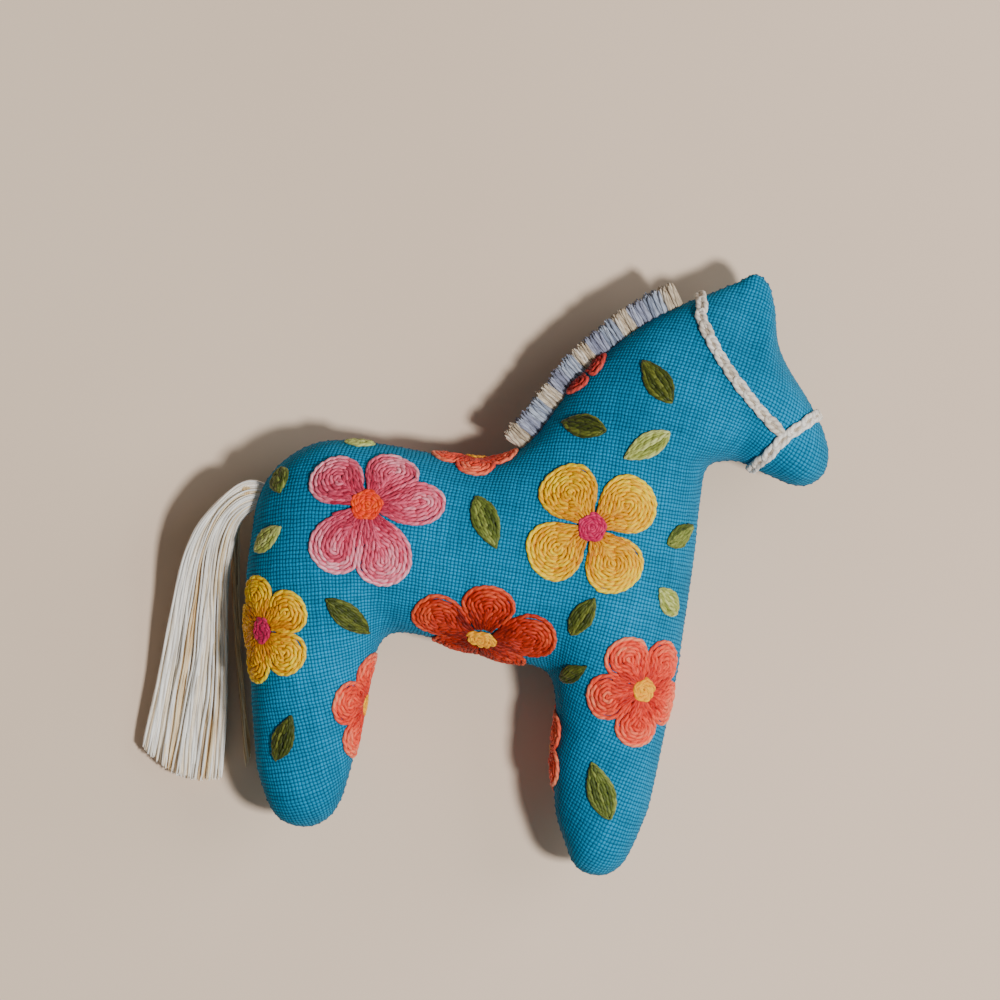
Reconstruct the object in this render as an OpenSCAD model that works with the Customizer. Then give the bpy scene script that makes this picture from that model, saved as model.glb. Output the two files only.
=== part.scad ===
// A stuffed cloth dala horse, lying on its left side: two canvas panels sewn
// together round the edge, satin-stitch flowers and leaves, a cut yarn mane,
// a chain-stitch bridle and a yarn tassel for a tail.

/* [Size] */
// Height of the horse from its feet to the tip of its ear, in mm
height = 169; // [140:1:200]
// Half the thickness of the stuffed trunk at its fullest, in mm
fullness = 21; // [18:0.5:24]
// Depth by which the underside is pressed flat where it lies, in mm
pressed = 0.9; // [0.4:0.1:1.4]

/* [Cloth] */
// Thickness of the canvas, in mm
canvas = 0.8; // [0.6:0.1:1.0]
// Radius of the thread that closes the seam, in mm
seam_radius = 0.35; // [0.25:0.05:0.4]
// Slack between the canvas and the stuffing, in mm
slack = 0.3; // [0.25:0.05:0.6]

/* [Embroidery] */
// Height of the stitching above the canvas, in mm
proud = 0.7; // [0.4:0.1:1.0]
// Depth of the stitching into the canvas, in mm
rooted = 0.3; // [0.2:0.05:0.4]

/* [Bridle] */
// Radius of the chain-stitch cord of the bridle, in mm
bridle_radius = 1.2; // [0.8:0.1:1.5]

/* [Mane] */
// Number of tufts along the crest, each a folded yarn with two cut ends
tufts = 13; // [13:1:13]
// Height of the mane above the crest, in mm
mane_height = 7.2; // [5:0.2:9]
// Thickness of the mane from side to side, in mm
mane_thickness = 5.6; // [4.4:0.2:6.4]
// Gap between neighbouring tufts, in mm
tuft_gap = 0.15; // [0.1:0.05:0.3]

/* [Tail] */
// Radius of the bound knot at the root of the tail, in mm
knot_radius = 3; // [2.5:0.1:3.2]
// Number of locks of yarn across the tail
locks = 7; // [7:1:7]
// Gap between neighbouring locks, in mm
lock_gap = 0.4; // [0.3:0.05:0.6]

/* [Hidden] */
// Size of this horse against the one whose outline is listed below.
k = height / 169;
f = fullness / 21;
// Middle of the part's box in the drawing of the outline, and height of the seam.
middle = k * [-10.4, 84.7];
seam_z = fullness - pressed;

// Steps of the outline between two listed points, and rings from edge to spine.
steps = 2;
rings = 6;

// Spine of the stuffing: x, y and half thickness.
HAUNCH = 0;
HIND_LEG = 1;
HIND_FOOT = 2;
BELLY = 3;
CHEST = 4;
FORE_LEG = 5;
FORE_FOOT = 6;
NECK = 7;
HEAD = 8;
MUZZLE = 9;
EAR = 10;
SPINE = [
    [-49, 81, 21],
    [-54, 44, 16],
    [-50, 14, 11.5],
    [-15, 81, 20.6],
    [17, 84, 21],
    [29, 45, 16],
    [31, 14, 11.5],
    [29, 118, 18],
    [52, 138, 15],
    [65, 122, 11],
    [48, 162, 4.6],
];

// Round stretch of the outline: centre, radii across and up, first and last angle.
function mix(a, b, t) = a + (b - a) * t;
function arc(centre, radii, from, to, count, core) = [
    for (i = [0:count - 1])
        let (a = mix(from, to, i / (count - 1)))
        [centre.x + radii.x * cos(a), centre.y + radii.y * sin(a), core]
];

// Each foot ends in half an ellipse that stands on y = 0.
foot_rise = 12;
function foot(x, half_width, core) =
    arc([x, foot_rise], [half_width, foot_rise], -20, -160, 5, core);

// Outline clockwise from the ear: x, y and the spine point it is stuffed from.
OUTLINE = concat(
    // Ear, forehead and nose, round the muzzle, and back under the jaw.
    [[48, 169, EAR], [53, 165, EAR], [55, 155, HEAD], [58, 148, HEAD], [67, 137, HEAD], [72, 131, MUZZLE]],
    arc([68, 121], [8, 8], 25, -110, 5, MUZZLE),
    [[59, 115, HEAD], [52, 117, HEAD]],
    // Throat, chest and foreleg.
    arc([47, 113], [4, 4], 90, 190, 3, NECK),
    [[43, 106, NECK], [44, 95, CHEST], [44.5, 79, CHEST], [44.5, 60, FORE_LEG]],
    [[44, 40, FORE_LEG], [43, 22, FORE_FOOT]],
    foot(31, 9.5, FORE_FOOT),
    [[18, 16, FORE_FOOT], [15.5, 29, FORE_LEG], [14.5, 40, FORE_LEG]],
    // Belly, rounded into both legs.
    arc([6, 46], [7.5, 7.5], 20, 90, 3, CHEST),
    [[-2, 54, CHEST], [-13, 55, BELLY], [-24, 56.5, BELLY]],
    arc([-31, 51], [5.5, 5.5], 90, 170, 3, HAUNCH),
    // Hind leg, round the haunch and along the back.
    [[-37.5, 45, HIND_LEG], [-38, 34, HIND_LEG], [-38, 20, HIND_FOOT]],
    foot(-50, 11, HIND_FOOT),
    [[-64, 16, HIND_FOOT], [-67, 29, HIND_LEG], [-71, 46, HIND_LEG], [-74.5, 62, HAUNCH]],
    arc([-52, 82], [23.6, 24], 190, 100, 5, HAUNCH),
    [[-40, 106.5, HAUNCH], [-24, 106, BELLY], [-14, 107, BELLY], [-8, 110, BELLY]],
    // Arched neck, up to the poll and the back of the ear.
    [[-3, 117, CHEST]],
    arc([78.5, 84], [88, 88], 148.5, 130, 3, NECK),
    [[33.5, 159.5, HEAD], [40, 163, EAR], [44.5, 166.5, EAR]]
);

// Smooth closed curve through the outline, with the spine point facing each step.
function wrap(list, i) = list[(i + len(list)) % len(list)];
function curve(a, b, c, d, t) =
    0.5 * (2 * b + (c - a) * t + (2 * a - 5 * b + 4 * c - d) * t * t
    + (3 * b - a - 3 * c + d) * t * t * t);
function flat(p) = [p.x, p.y];
columns = len(OUTLINE) * steps;
EDGE = [
    for (i = [0:columns - 1])
        let (n = floor(i / steps), t = i / steps - n)
        k * curve(
            flat(wrap(OUTLINE, n - 1)), flat(OUTLINE[n]),
            flat(wrap(OUTLINE, n + 1)), flat(wrap(OUTLINE, n + 2)), t)
];
CORE = [
    for (i = [0:columns - 1])
        let (n = floor(i / steps), t = i / steps - n)
        let (s = mix(SPINE[OUTLINE[n][2]], SPINE[wrap(OUTLINE, n + 1)[2]], t))
        [k * s.x, k * s.y, f * s.z]
];

// Distance round the outline to each step, for placing things along the edge.
function along(i) =
    i == 0 ? [0] : let (l = along(i - 1)) concat(l, l[i - 1] + norm(wrap(EDGE, i) - EDGE[i - 1]));
RUN = along(columns);
girth = RUN[columns];
function table(list, axis) = [for (i = [0:columns]) [RUN[i], wrap(list, i)[axis]]];
EDGE_X = table(EDGE, 0);
EDGE_Y = table(EDGE, 1);
CORE_X = table(CORE, 0);
CORE_Y = table(CORE, 1);
CORE_Z = table(CORE, 2);
function round_to(s) = s < 0 ? s + girth : s > girth ? s - girth : s;
function edge_at(s) = let (r = round_to(s)) [lookup(r, EDGE_X), lookup(r, EDGE_Y)];
function core_at(s) = let (r = round_to(s)) [lookup(r, CORE_X), lookup(r, CORE_Y), lookup(r, CORE_Z)];

// Distance round the outline to the place on it nearest to q.
function nearest(q) =
    let (found = [
        for (i = [0:columns - 1])
            let (a = EDGE[i], b = wrap(EDGE, i + 1), d = b - a)
            let (t = max(0, min(1, (k * q - a) * d / (d * d))))
            [norm(a + d * t - k * q), RUN[i] + t * norm(d)]
    ])
    let (gaps = [for (place = found) place[0]])
    found[search(min(gaps), gaps)[0]][1];

// Everything is drawn about the seam's plane, then set down and pressed flat at z = 0.
function unit(v) = v / norm(v);
function set_down(p, least = 0) = [p.x - middle.x, p.y - middle.y, max(least, p.z + seam_z)];

// A point of the skin: round the edge by s, and turned by an angle from the
// right side (0) over the edge (90) to the left side (180), raised by lift.
function skin(s, turn, lift) =
    let (e = edge_at(s), c = core_at(s), reach = e - flat(c), w = norm(reach))
    let (p = [c.x + reach.x * sin(turn), c.y + reach.y * sin(turn), c.z * cos(turn)])
    let (n = unit([reach.x / w * sin(turn) / w, reach.y / w * sin(turn) / w, cos(turn) / c.z]))
    set_down(p + lift * n, max(0, -lift));

// The same for a point seen from above, q, on the right (side 1) or left (-1).
function cross_z(a, b) = a.x * b.y - a.y * b.x;
function holds(q, i) =
    let (a = EDGE[i], b = wrap(EDGE, i + 1), c = flat(wrap(CORE, i + 1)), d = flat(CORE[i]))
    cross_z(b - a, q - a) <= 0 && cross_z(c - b, q - b) <= 0
    && cross_z(d - a, q - a) >= 0 && (c == d || cross_z(d - c, q - c) <= 0);
function cell(q) = [for (i = [0:columns - 1]) if (holds(q, i)) i][0];
// A place past the body's outline is brought towards m until it is on the cloth.
function on_cloth(q, m) = is_undef(cell(q)) ? on_cloth(mix(q, m, 0.04), m) : q;
function skin_over(q, side, lift) =
    let (i = cell(q), j = i + 1, a = EDGE[i], b = wrap(EDGE, j))
    let (c = CORE[i], d = wrap(CORE, j))
    let (u = abs(cross_z(unit(flat(c) - a), q - a)), v = abs(cross_z(unit(flat(d) - b), q - b)))
    let (t = u / max(u + v, 0.0001), e = mix(a, b, t), g = mix(c, d, t))
    let (reach = e - flat(g), w = norm(reach), rho = min(0.98, norm(q - flat(g)) / w))
    let (out = rho > 0.001 ? unit(q - flat(g)) : [0, 0], h = sqrt(1 - rho * rho))
    let (n = unit([out.x * rho / w, out.y * rho / w, h / g.z]))
    let (p = [q.x + lift * n.x, q.y + lift * n.y, g.z * h + lift * n.z])
    set_down([p.x, p.y, side * p.z], max(0, -lift));

// ---------------------------------------------------------------- solids
// A surface of rings from the edge to the spine, inset by a depth under the skin.
function dome(inset, side) = [
    for (j = [0:rings]) for (i = [0:columns - 1])
        let (c = CORE[i], reach = EDGE[i] - flat(c), w = norm(reach) - inset)
        let (rho = cos(90 * j / rings), o = unit(reach) * w * rho)
        let (z = side * (c.z - inset) * sin(90 * j / rings))
        [c.x + o.x - middle.x, c.y + o.y - middle.y, max(inset, z + seam_z)]
];
function strip(first, second, turned) = [
    for (i = [0:columns - 1])
        let (a = first + i, b = first + (i + 1) % columns)
        let (c = second + (i + 1) % columns, d = second + i)
        for (t = turned ? [[a, c, b], [a, d, c]] : [[a, b, c], [a, c, d]]) t
];
function dome_faces(first, turned) = [
    for (j = [0:rings - 1]) each strip(first + j * columns, first + (j + 1) * columns, turned)
];
function whole(points, faces) = [
    for (t = faces) if (points[t[0]] != points[t[1]] && points[t[1]] != points[t[2]]
        && points[t[2]] != points[t[0]]) t
];

module shell(side) {
    outer = dome(0, side);
    inner = dome(canvas, side);
    points = concat(outer, inner);
    n = len(outer);
    faces = concat(
        dome_faces(0, side < 0),
        dome_faces(n, side > 0),
        strip(0, n, side > 0)
    );
    polyhedron(points, whole(points, faces));
}

module filling(inset) {
    upper = dome(inset, 1);
    lower = dome(inset, -1);
    points = concat(upper, lower);
    faces = concat(dome_faces(0, false), dome_faces(len(upper), true));
    polyhedron(points, whole(points, faces));
}

// A pad of stitching: rim, shoulder ring and crown above the canvas, roots below.
function pad_faces(n) = concat(
    [for (i = [0:n - 1]) [4 * n - n, i, (i + 1) % n]],
    [for (i = [0:n - 1]) let (j = (i + 1) % n) for (t = [[i, n + j, j], [i, n + i, n + j]]) t],
    [for (i = [0:n - 1]) let (j = (i + 1) % n)
        for (t = [[n + i, 2 * n + j, n + j], [n + i, 2 * n + i, 2 * n + j]]) t],
    [for (i = [0:n - 1]) [3 * n + 1, 2 * n + (i + 1) % n, 2 * n + i]]
);
module pad(roots, rim, shoulder, root_middle, crown) {
    polyhedron(concat(roots, rim, shoulder, [root_middle, crown]), pad_faces(len(roots)));
}
shoulder_at = 0.6;
rim_lift = 0.45 * proud;

// A pad whose outline is listed flat, laid on the skin about a place on the edge.
// Each listed point is [outward, along], in mm over the skin.
module edge_pad(s, turn, outline, centre) {
    c = core_at(s);
    roundness = (norm(edge_at(s) - flat(c)) + c.z) / 2;
    function at(p, lift) = skin(s + p.y, turn + p.x / roundness * 180 / PI, lift);
    pad(
        [for (p = outline) at(p, -rooted)],
        [for (p = outline) at(p, rim_lift)],
        [for (p = outline) at(mix(centre, p, shoulder_at), proud)],
        at(centre, -rooted),
        at(centre, proud)
    );
}

// A pad laid on the right or left side, its outline listed as seen from above.
// On a leg, bend gives the leg's middle and half width, and the outline wraps round it.
module side_pad(place, side, outline, centre, bend = [0, 0]) {
    q = k * place;
    m = k * bend.x;
    w = k * bend.y;
    function seen(p) = w == 0 ? q + p : [m + w * sin(asin((q.x - m) / w) + p.x / w * 180 / PI), q.y + p.y];
    function at(p) = on_cloth(seen(p), seen(centre));
    pad(
        [for (p = outline) skin_over(at(p), side, -rooted)],
        [for (p = outline) skin_over(at(p), side, rim_lift)],
        [for (p = outline) skin_over(at(mix(centre, p, shoulder_at)), side, proud)],
        skin_over(at(centre), side, -rooted),
        skin_over(at(centre), side, proud)
    );
}

// Outline of a petal that points at an angle, from the flower's centre to its reach.
PETAL_POINTS = 12;
DISC_POINTS = 10;
LEAF_POINTS = 10;
function turned(p, a) = [p.x * cos(a) - p.y * sin(a), p.x * sin(a) + p.y * cos(a)];
// A petal fills the room between its neighbours near the centre, and is round beyond.
function half_room(petals, angle, way) =
    min(60, min([for (q = petals) if (q[0] != angle) (way * (q[0] - angle) + 720) % 360]) / 2);
function petal(petals, angle, start, reach, width) = [
    for (i = [0:PETAL_POINTS - 1])
        let (a = 360 * i / PETAL_POINTS, x = (start + reach) / 2 + (reach - start) / 2 * cos(a))
        let (room = half_room(petals, angle, a < 180 ? 1 : -1))
        let (most = x * tan(room) - petal_gap / 2 / cos(room))
        let (y = width * abs(sin(a)) * (1 + 0.12 * cos(a)))
        turned([x, sign(sin(a)) * min(y, most)], angle)
];
function petal_centre(angle, start, reach) = turned([(start + reach) / 2, 0], angle);
function disc(a, b) = [
    for (i = [0:DISC_POINTS - 1])
        [a * cos(360 * i / DISC_POINTS), b * sin(360 * i / DISC_POINTS)]
];
function leaf(length, width, angle) = [
    for (i = [0:LEAF_POINTS - 1])
        let (a = 360 * i / LEAF_POINTS)
        turned([length / 2 * cos(a), width / 2 * sin(a) * (0.75 + 0.25 * sin(a) * sin(a))], angle)
];

// A round cord through points, each with the direction that faces out of the cloth.
module cord(path, outward, radius, sides, closed) {
    n = len(path);
    function ahead(i) = closed ? wrap(path, i + 1) : path[min(i + 1, n - 1)];
    function behind(i) = closed ? wrap(path, i - 1) : path[max(i - 1, 0)];
    points = [
        for (i = [0:n - 1])
            let (along = unit(ahead(i) - behind(i)), across = unit(cross(along, outward[i])))
            let (up = cross(across, along))
            for (j = [0:sides - 1])
                let (a = 360 * (j + 0.5) / sides)
                path[i] + radius * (cos(a) * across + sin(a) * up)
    ];
    last = closed ? n - 1 : n - 2;
    walls = [
        for (i = [0:last]) for (j = [0:sides - 1])
            let (a = i * sides + j, b = i * sides + (j + 1) % sides)
            let (c = (a + sides) % (n * sides), d = (b + sides) % (n * sides))
            for (t = [[a, c, d], [a, d, b]]) t
    ];
    ends = closed ? [] : [
        [for (j = [0:sides - 1]) j],
        [for (j = [sides - 1:-1:0]) (n - 1) * sides + j],
    ];
    polyhedron(points, concat(walls, ends));
}

// ---------------------------------------------------------------- cloth
module right_panel() color([0.03, 0.5, 0.64]) shell(1);
module left_panel() color([0.03, 0.47, 0.6]) shell(-1);
module stuffing() color([0.95, 0.94, 0.9]) filling(canvas + slack);
module seam_thread() {
    inset = canvas / 2;
    path = [
        for (i = [0:columns - 1])
            let (reach = EDGE[i] - flat(CORE[i]), e = EDGE[i] - unit(reach) * inset)
            set_down([e.x, e.y, 0])
    ];
    outward = [for (i = [0:columns - 1]) [0, 0, 1]];
    color([0.03, 0.42, 0.54]) cord(path, outward, seam_radius, 4, true);
}

// ---------------------------------------------------------------- flowers
function five(first, reach, width) = [for (a = [0:72:288]) [a + first, reach, width]];
GOLD = [0.9, 0.68, 0.16];
CORAL = [0.9, 0.38, 0.32];
petal_gap = 0.4;
// Middles of the flowers on a side.
PINK_AT = [-45, 89];
YELLOW_AT = [15, 93];
KNEE_AT = [35.5, 52.5];
// Flowers on a side: name, place, centre's radius, petals [angle, reach, width],
// the two colours, and the leg they wrap round if any.
PINK_PETALS = [[146, 18, 7.8], [64, 18.5, 7.2], [13, 21, 6.2], [-64, 22.5, 7.8], [-117, 21, 7.6]];
YELLOW_PETALS = [[131, 19, 8], [42, 19, 8], [-49, 19, 8], [-139, 19, 8]];
SIDE_FLOWERS = [
    ["pink_flower", PINK_AT, 4.2, PINK_PETALS, [0.86, 0.48, 0.6], [0.94, 0.36, 0.08], [0, 0]],
    ["yellow_flower", YELLOW_AT, 3.9, YELLOW_PETALS, [0.92, 0.75, 0.25], [0.8, 0.2, 0.4], [0, 0]],
    ["knee_flower", KNEE_AT, 3.2, five(-17, 15.5, 6.2), CORAL, GOLD, [30, 14.3]],
];
module side_petals(flower, side) {
    for (p = flower[3])
        color(flower[4]) side_pad(
            flower[1], side,
            petal(flower[3], p[0], flower[2] + petal_gap, p[1], p[2]),
            petal_centre(p[0], flower[2] + petal_gap, p[1]),
            flower[6]
        );
}
module side_centre(flower, side) {
    color(flower[5]) side_pad(flower[1], side, disc(flower[2], flower[2]), [0, 0], flower[6]);
}

// Flowers that reach over an edge: name, place on the edge, turn from the side,
// centre's radii, petals and the two colours. Their angles start outward.
HAUNCH_PETALS = five(8, 15, 6);
BELLY_PETALS = [[180, 17, 7.2], [108, 20.5, 7.2], [252, 20.5, 7.2], [36, 17, 6.8], [-36, 17, 6.8]];
HOCK_PETALS = five(36, 15, 6);
BACK_PETALS = five(36, 12.5, 5.2);
SHIN_PETALS = five(0, 13, 5.2);
CREST_PETALS = [for (a = [36, 144, 216, 324]) [a, 10, 4]];
EDGE_FLOWERS = [
    ["haunch_flower", [-72, 50.5], 49, [3, 3.6], HAUNCH_PETALS, [0.92, 0.75, 0.25], [0.8, 0.2, 0.4]],
    ["belly_flower", [-10, 55], 57, [2.8, 4.2], BELLY_PETALS, [0.78, 0.3, 0.2], GOLD],
    ["hock_flower", [-38, 36], 86, [3, 3], HOCK_PETALS, CORAL, GOLD],
    ["back_flower", [-18.5, 106.5], 90, [3, 3], BACK_PETALS, CORAL, GOLD],
    ["shin_flower", [15, 32], 106, [2.6, 2.6], SHIN_PETALS, CORAL, GOLD],
    ["crest_flower", [7, 134], 90, [0, 0], CREST_PETALS, [0.8, 0.25, 0.25], GOLD],
];
module edge_petals(flower) {
    s = nearest(flower[1]);
    start = flower[3].x > 0 ? max(flower[3]) + petal_gap : 0.8 * mane_thickness;
    for (p = flower[4])
        color(flower[5]) edge_pad(
            s, flower[2],
            petal(flower[4], p[0], start, p[1], p[2]),
            petal_centre(p[0], start, p[1])
        );
}
module edge_centre(flower) {
    color(flower[6]) edge_pad(
        nearest(flower[1]), flower[2], disc(flower[3].x, flower[3].y), [0, 0]);
}

// ---------------------------------------------------------------- leaves
// Leaves: the flower each goes with, the way from it, lean, length and width.
LIGHT_LEAVES = [
    [PINK_AT, [-25, -13], 56, 10, 4.4],
    [YELLOW_AT, [11, 24], 39, 14, 6.2],
    [KNEE_AT, [3, 24.5], -56, 9, 5],
];
MIDDLE_LEAVES = [
    [PINK_AT, [-24.5, 3], 84, 7.5, 4.4],
    [YELLOW_AT, [-28, -3], -59, 15, 7],
    [YELLOW_AT, [24, 2], 52, 9, 4.6],
    [KNEE_AT, [-6.5, -28.5], -64, 16, 7],
];
DARK_LEAVES = [
    [PINK_AT, [0, -30], -29, 14.5, 6],
    [PINK_AT, [-12, -65], 81, 13, 5.4],
    [YELLOW_AT, [-6.5, 26.5], 0, 12, 6],
    [YELLOW_AT, [11, 41.5], -47, 13.6, 6.8],
    [YELLOW_AT, [1.5, -23.5], 66, 11.4, 5.6],
    [KNEE_AT, [-19, 1.5], 39, 7, 4],
];
LEAF_SHADES = [
    ["light_leaves", LIGHT_LEAVES, [0.68, 0.72, 0.42]],
    ["middle_leaves", MIDDLE_LEAVES, [0.45, 0.52, 0.26]],
    ["dark_leaves", DARK_LEAVES, [0.3, 0.36, 0.13]],
];
module leaves(shade, side) {
    for (l = shade[1])
        color(shade[2]) side_pad(l[0] + l[1], side, leaf(l[3], l[4], l[2]), [0, 0]);
}
module back_leaf() {
    color([0.68, 0.72, 0.42]) edge_pad(nearest([-50, 106]), 76, leaf(4.6, 9, 0), [0, 0]);
}

// ---------------------------------------------------------------- bridle
bridle_lift = 0.9 * bridle_radius;
// Each strap bends once: from a place, towards a second, to a third.
function bent(a, b, c, count) = [
    for (i = [0:count - 1])
        let (t = i / (count - 1))
        mix(mix(a, b, t), mix(b, c, t), t)
];
CHEEK = bent([34, 155], [41, 140], [59, 128], 6);
NOSE = bent([67, 130], [61, 126], [58, 119], 4);
cheek_poll = [33.5, 159.5];
nose_front = [70.5, 133];
nose_jaw = [55.5, 116];
function strap_side(list, side) = [for (q = list) skin_over(k * q, side, bridle_lift)];
function strap_edge(q) = [for (a = [60, 90, 120]) skin(nearest(q), a, bridle_lift)];
function back_to_front(list) = [for (i = [len(list) - 1:-1:0]) list[i]];
function face_out(path) = [
    for (p = path)
        let (c = core_at(nearest((flat(p) + middle) / k)))
        unit(p - set_down([c.x, c.y, 0]))
];
module cheek_strap() {
    path = concat(
        back_to_front(strap_side(CHEEK, -1)),
        back_to_front(strap_edge(cheek_poll)),
        strap_side(CHEEK, 1)
    );
    color([0.91, 0.87, 0.8]) cord(path, face_out(path), bridle_radius, 8, false);
}
module noseband() {
    path = concat(
        back_to_front(strap_edge(nose_front)),
        strap_side(NOSE, 1),
        strap_edge(nose_jaw),
        back_to_front(strap_side(NOSE, -1))
    );
    color([0.91, 0.87, 0.8]) cord(path, face_out(path), bridle_radius, 8, true);
}

// ---------------------------------------------------------------- mane
mane_start = nearest([-7, 111]);
mane_end = nearest([29.5, 157]);
mane_root = 0.4;
TUFT_SECTION = [[-1, -0.7], [-0.6, -1], [0.6, -1], [1, -0.7], [1, 0.7], [0.6, 1], [-0.6, 1], [-1, 0.7]];
TUFT_RISE = [[0, 0.72], [0.45, 1], [0.88, 1], [1, 0.86]];
MANE_SHADES = [[0.73, 0.75, 0.84], [0.86, 0.8, 0.72], [0.62, 0.62, 0.72]];
crest_spread = 4;
function crest_out(s) = let (a = edge_at(s + crest_spread) - edge_at(s - crest_spread)) unit([-a.y, a.x]);
module mane_tuft(i) {
    pitch = (mane_end - mane_start) / tufts;
    s = mane_start + pitch * (i - 1);
    e = pitch / 2 - tuft_gap / 2;
    sides = len(TUFT_SECTION);
    points = [
        for (r = TUFT_RISE) for (q = TUFT_SECTION)
            let (h = -mane_root + r[0] * (mane_height + mane_root))
            let (u = s + pitch / 2 + e * q.x, m = edge_at(u) + crest_out(u) * h)
            [m.x - middle.x, m.y - middle.y, seam_z + mane_thickness / 2 * r[1] * q.y]
    ];
    faces = concat(
        [[for (j = [0:sides - 1]) j]],
        [for (m = [0:len(TUFT_RISE) - 2]) for (j = [0:sides - 1])
            let (c = m * sides + j, d = m * sides + (j + 1) % sides)
            for (t = [[c, c + sides, d + sides], [c, d + sides, d]]) t],
        [[for (j = [sides - 1:-1:0]) (len(TUFT_RISE) - 1) * sides + j]]
    );
    color(MANE_SHADES[i % len(MANE_SHADES)]) polyhedron(points, faces);
}

// ---------------------------------------------------------------- tail
// Courses down the tail: x, y, share of the way down to the floor, width, thickness.
TAIL = [
    [-81.5, 84.5, 0, 5, 5],
    [-84, 80.5, 0.08, 9, 6.6],
    [-85.5, 75, 0.24, 12, 7.4],
    [-86.5, 66, 0.5, 13.5, 7.6],
    [-86, 54, 0.74, 15.5, 7.6],
    [-85.2, 42, 0.9, 17.6, 7.4],
    [-84.8, 30, 0.97, 19.8, 7],
    [-84.8, 20, 1, 21.6, 6.6],
    [-84.5, 7, 1, 23, 6.2],
];
WISP = [
    [-79.4, 78.6, 0.3, 2.6, 2.4],
    [-77.6, 70, 0.66, 3.2, 2.4],
    [-75.4, 58, 0.92, 3.4, 2.2],
    [-72.8, 45, 1.06, 3.2, 2],
    [-69.6, 30, 1.1, 2.4, 1.6],
    [-66.6, 14, 1.12, 1.2, 1],
];
tail_pivot = [-78, 87.4];
tail_floor = 3.9;
lock_sides = 8;
lock_bow = 0.16;
function tail_z(share) = mix(seam_z, tail_floor, share);
// A lock keeps its place across its course, from -1 to 1, and its share of the width.
module lock(course, place, share) {
    last = len(course) - 1;
    mids = [for (c = course) k * flat(c)];
    function heading(i) = unit(mids[min(i + 1, last)] - mids[max(i - 1, 0)]);
    points = [
        for (i = [0:last])
            let (h = heading(i), across = [-h.y, h.x], w = k * course[i][3])
            let (half = (w * share - min(1, i / 2) * lock_gap) / 2, thick = course[i][4] / 2)
            let (z = tail_z(course[i].z), flatter = 1 - lock_bow * place * place)
            for (j = [0:lock_sides - 1])
                let (a = 360 * (j + 0.5) / lock_sides)
                let (m = mids[i] + across * (place * w / 2 + half * cos(a)))
                [m.x - middle.x, m.y - middle.y, z + thick * sin(a) * flatter]
    ];
    walls = [
        for (i = [0:last - 1]) for (j = [0:lock_sides - 1])
            let (a = i * lock_sides + j, b = i * lock_sides + (j + 1) % lock_sides)
            for (t = [[a, b, b + lock_sides], [a, b + lock_sides, a + lock_sides]]) t
    ];
    ends = [
        [for (j = [lock_sides - 1:-1:0]) j],
        [for (j = [0:lock_sides - 1]) last * lock_sides + j],
    ];
    polyhedron(points, concat(walls, ends));
}
CREAM_LOCKS = [1, 2, 4, 5, 7];
TAN_LOCKS = [3, 6];
module tail_locks(list, shade) {
    for (i = list)
        color(shade) lock(TAIL, (2 * i - 1) / locks - 1, 1 / locks);
}
module tail_knot() {
    p = k * tail_pivot - middle;
    color([0.9, 0.86, 0.76]) translate([p.x, p.y, seam_z]) sphere(r = knot_radius);
}
// Loose yarn beside the tail, on the side nearest the leg.
module tail_wisps() {
    for (place = [-0.5, 0.5])
        color([0.78, 0.64, 0.46]) lock(WISP, place, 0.5);
}

right_panel();
left_panel();
stuffing();
seam_thread();
for (flower = SIDE_FLOWERS) {
    side_petals(flower, 1);
    side_centre(flower, 1);
    side_petals(flower, -1);
    side_centre(flower, -1);
}
for (flower = EDGE_FLOWERS) {
    edge_petals(flower);
    if (flower[3].x > 0)
        edge_centre(flower);
}
for (shade = LEAF_SHADES) {
    leaves(shade, 1);
    leaves(shade, -1);
}
back_leaf();
cheek_strap();
noseband();
for (i = [1:tufts])
    mane_tuft(i);
tail_knot();
tail_locks(CREAM_LOCKS, [0.94, 0.92, 0.88]);  // tail_cream_locks
tail_locks(TAN_LOCKS, [0.84, 0.72, 0.56]);  // tail_tan_locks
tail_wisps();
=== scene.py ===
import bpy
import bmesh
import math
import numpy as np
from mathutils import Matrix, Vector
from mathutils.bvhtree import BVHTree


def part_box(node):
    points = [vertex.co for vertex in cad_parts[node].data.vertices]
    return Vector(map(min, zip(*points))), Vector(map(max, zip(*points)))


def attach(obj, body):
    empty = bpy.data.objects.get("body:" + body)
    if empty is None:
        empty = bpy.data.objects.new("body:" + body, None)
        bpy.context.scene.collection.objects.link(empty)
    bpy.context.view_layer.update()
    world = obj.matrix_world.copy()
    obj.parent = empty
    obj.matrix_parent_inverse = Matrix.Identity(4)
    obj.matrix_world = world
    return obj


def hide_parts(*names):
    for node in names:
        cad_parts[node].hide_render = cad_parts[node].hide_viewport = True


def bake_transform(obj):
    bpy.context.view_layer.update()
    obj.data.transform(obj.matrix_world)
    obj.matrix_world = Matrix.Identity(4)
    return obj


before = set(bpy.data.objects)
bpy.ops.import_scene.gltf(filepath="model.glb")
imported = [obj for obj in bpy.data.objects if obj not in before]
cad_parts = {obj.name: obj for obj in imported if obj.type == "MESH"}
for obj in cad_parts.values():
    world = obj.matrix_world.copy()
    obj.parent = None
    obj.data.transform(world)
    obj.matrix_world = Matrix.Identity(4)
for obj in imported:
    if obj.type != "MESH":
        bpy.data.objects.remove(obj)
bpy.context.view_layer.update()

# A stuffed cloth dala horse lying on its left side. The cloth is swelled from the CAD
# stuffing, every flower, leaf, strap, tuft and strand is laid on it as real thread.

MM = 0.001
RNG = np.random.default_rng(7)
ROW = 0.95 * MM            # distance between neighbouring rows of stitching
THREAD = 0.56 * MM         # radius of the embroidery thread
WEAVE = 1.0 * MM           # distance between neighbouring threads of the canvas
PLY_TURN = 2.4 * MM        # length of one turn of a twisted thread

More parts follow.
